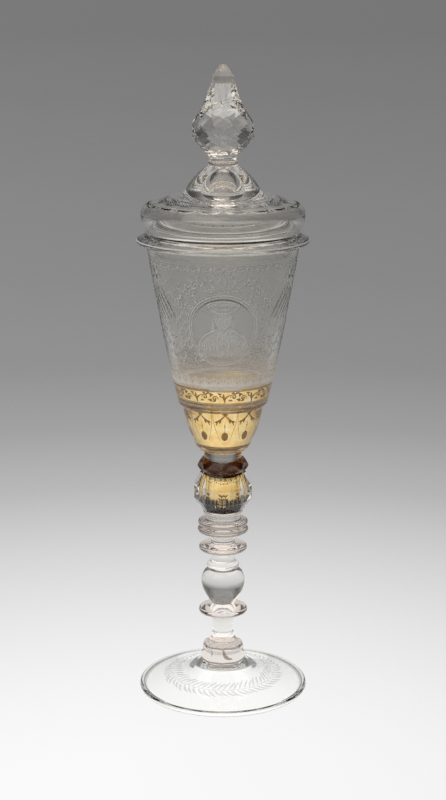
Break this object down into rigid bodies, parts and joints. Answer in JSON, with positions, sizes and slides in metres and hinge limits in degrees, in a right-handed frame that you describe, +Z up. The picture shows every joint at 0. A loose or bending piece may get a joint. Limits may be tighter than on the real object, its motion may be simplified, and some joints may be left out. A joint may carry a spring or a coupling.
{
  "type": "covered glass goblet",
  "caption": "Tall covered goblet of clear glass: conical bowl with gold leaf between two walls, knopped stem on a wide conical foot, and a lift-off domed cover with a faceted finial.",
  "frame": {"origin": "centre of the foot's underside, on the table", "axes": "+Z up along the stem's axis; -Y towards the front of the engraved bowl"},
  "size_m": [0.084, 0.084, 0.3093],
  "materials": {
    "clear_glass": "clear blown and cut glass, polished",
    "warm_glass": "clear glass with a faint pinkish brown tint",
    "amber_glass": "dark amber glass, facet cut",
    "gold_leaf": "gold leaf, engraved with a needle",
    "dark_cement": "dark resin cement"
  },
  "bodies": {
    "goblet": {"foot": "clear_glass", "base_knob": "clear_glass", "lower_neck": "clear_glass", "lower_merese": "warm_glass", "baluster_knop": "clear_glass", "baluster_ring": "clear_glass", "short_neck": "clear_glass", "middle_merese": "warm_glass", "upper_neck": "clear_glass", "twin_merese_lower": "warm_glass", "twin_merese_upper": "warm_glass", "knop_collar": "clear_glass", "knop_shell": "clear_glass", "knop_leaf": "gold_leaf", "knop_core": "clear_glass", "knop_cement": "dark_cement", "amber_ring": "amber_glass", "bowl_button": "clear_glass", "casing": "clear_glass", "frieze_leaf": "gold_leaf", "cup_leaf": "gold_leaf", "bowl": "clear_glass"},
    "cover": {"cover_shell": "clear_glass", "finial_collar": "warm_glass", "finial": "clear_glass"}
  },
  "joints": [
    {"name": "cover_lift", "type": "slide", "parent": "goblet", "child": "cover", "axis": [0, 0, 1], "range_m": [0, 0.06]}
  ]
}
